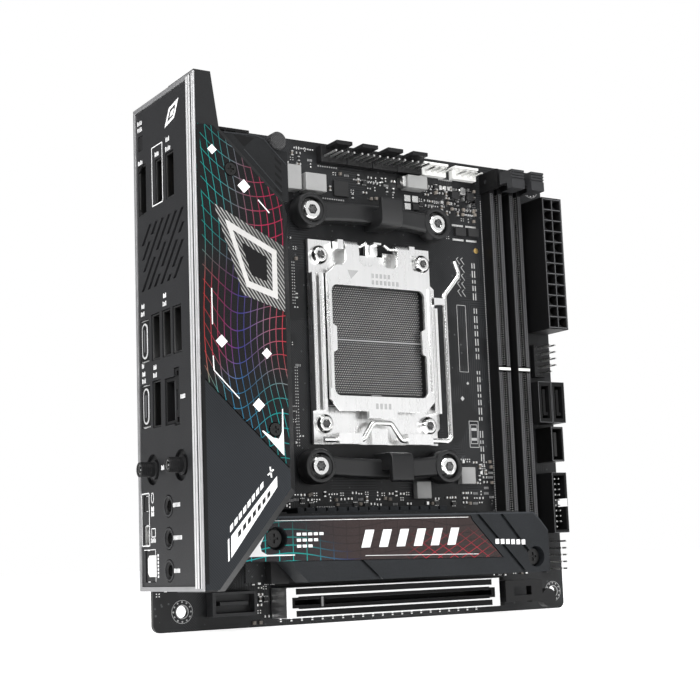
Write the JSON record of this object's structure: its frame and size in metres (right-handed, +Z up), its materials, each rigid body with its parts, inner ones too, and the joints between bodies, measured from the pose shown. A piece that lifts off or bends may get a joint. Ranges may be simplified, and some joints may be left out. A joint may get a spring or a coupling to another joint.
{
  "type": "computer motherboard",
  "caption": "Small square computer main board with a rear connector cover, a hinged-plate processor socket, latched memory slots, a graphics slot and a storage heatsink.",
  "frame": {"origin": "midway between the two lower mounting holes, on the board's back face", "axes": "+X away from the rear connectors, -Y out of the component face, +Z up the board"},
  "size_m": [0.1785, 0.0486, 0.1734],
  "materials": {
    "board_laminate": "satin solder mask with fine tracks",
    "bezel_metal": "satin grey with a polished band",
    "panel_sheet": "matte black printed sheet",
    "cover_shell": "satin charcoal",
    "printed_skin": "gloss print",
    "brushed_skin": "dark brushed",
    "dark_aluminium": "blasted, dark anodised",
    "bright_steel": "satin",
    "chromed": "polished",
    "sleeve_metal": "bright",
    "black_plastic": "fine grain",
    "white_plastic": "fine grain",
    "grey_plastic": "satin",
    "gilded": "plated",
    "pad_rubber": "soft",
    "ferrite": "pressed powder",
    "chip_resin": "moulded",
    "cell_metal": "pressed"
  },
  "bodies": {
    "board": {"pcb": "board_laminate", "io_bezel": "bezel_metal", "io_panel": "panel_sheet", "io_cover": "cover_shell", "cover_print_panel": "printed_skin", "cover_brushed_panel": "brushed_skin", "cover_screws": "black_plastic", "usb_a_ports": "sleeve_metal", "usb_c_ports": "sleeve_metal", "hdmi_port": "sleeve_metal", "lan_port": "black_plastic", "spdif_port": "black_plastic", "audio_jacks": "black_plastic", "antenna_connectors": "bright_steel", "rear_port_housings": "black_plastic", "vrm_heatsink": "dark_aluminium", "thermal_pads": "pad_rubber", "vrm_mosfets": "chip_resin", "vrm_inductors": "ferrite", "inductors": "ferrite", "chips": "chip_resin", "wifi_module": "bright_steel", "clock_battery": "cell_metal", "front_audio_connector": "grey_plastic", "socket_body": "black_plastic", "socket_contacts": "gilded", "ilm_frame": "bright_steel", "ilm_hinge_wire": "bright_steel", "ilm_screws": "chromed", "socket_backplate": "bright_steel", "cooler_bracket_top": "black_plastic", "cooler_bracket_bottom": "black_plastic", "bracket_screws": "chromed", "dimm_slot_1": "black_plastic", "dimm_slot_2": "black_plastic", "atx_power_24": "black_plastic", "eps_power_8": "black_plastic", "power_pins": "gilded", "pin_headers": "black_plastic", "fan_headers": "black_plastic", "rgb_headers": "white_plastic", "header_pins": "gilded", "sata_ports": "black_plastic", "front_usb_c_header": "sleeve_metal", "usb3_header": "black_plastic", "pcie_slot": "black_plastic", "pcie_shield": "bright_steel", "chipset_heatsink": "dark_aluminium", "ssd_riser_board": "board_laminate", "ssd_slots": "black_plastic", "ssd_board": "board_laminate", "ssd_heatsink": "dark_aluminium", "ssd_label_plate": "printed_skin"},
    "load_lever": {"load_lever": "bright_steel"},
    "load_plate": {"load_plate": "bright_steel"},
    "dimm_latch_1": {"dimm_latch_1": "black_plastic"},
    "dimm_latch_2": {"dimm_latch_2": "black_plastic"},
    "pcie_latch": {"pcie_latch": "black_plastic"},
    "clear_cmos_button": {"clear_cmos_button": "black_plastic"},
    "bios_flashback_button": {"bios_flashback_button": "black_plastic"}
  },
  "joints": [
    {"name": "lever_hinge", "type": "hinge", "parent": "board", "child": "load_lever", "pos_m": [-0.0011, -0.0072, 0.05605], "axis": [1, 0, 0], "range_deg": [0, 110]},
    {"name": "plate_hinge", "type": "hinge", "parent": "board", "child": "load_plate", "pos_m": [-0.0011, -0.0065, 0.12565], "axis": [-1, 0, 0], "range_deg": [0, 105]},
    {"name": "memory_latch_1_hinge", "type": "hinge", "parent": "board", "child": "dimm_latch_1", "pos_m": [0.05572, -0.0052, 0.15665], "axis": [-1, 0, 0], "range_deg": [0, 25]},
    {"name": "memory_latch_2_hinge", "type": "hinge", "parent": "board", "child": "dimm_latch_2", "pos_m": [0.06512, -0.0052, 0.15665], "axis": [-1, 0, 0], "range_deg": [0, 25]},
    {"name": "slot_latch_hinge", "type": "hinge", "parent": "board", "child": "pcie_latch", "pos_m": [0.04677, -0.005, 0.00125], "axis": [0, 0, 1], "range_deg": [0, 18]},
    {"name": "clear_button_slide", "type": "slide", "parent": "board", "child": "clear_cmos_button", "axis": [1, 0, 0], "range_m": [0, 0.0005], "stiffness_N_per_m": 300, "springref_m": -0.0005},
    {"name": "flash_button_slide", "type": "slide", "parent": "board", "child": "bios_flashback_button", "axis": [1, 0, 0], "range_m": [0, 0.0005], "stiffness_N_per_m": 300, "springref_m": -0.0005}
  ]
}
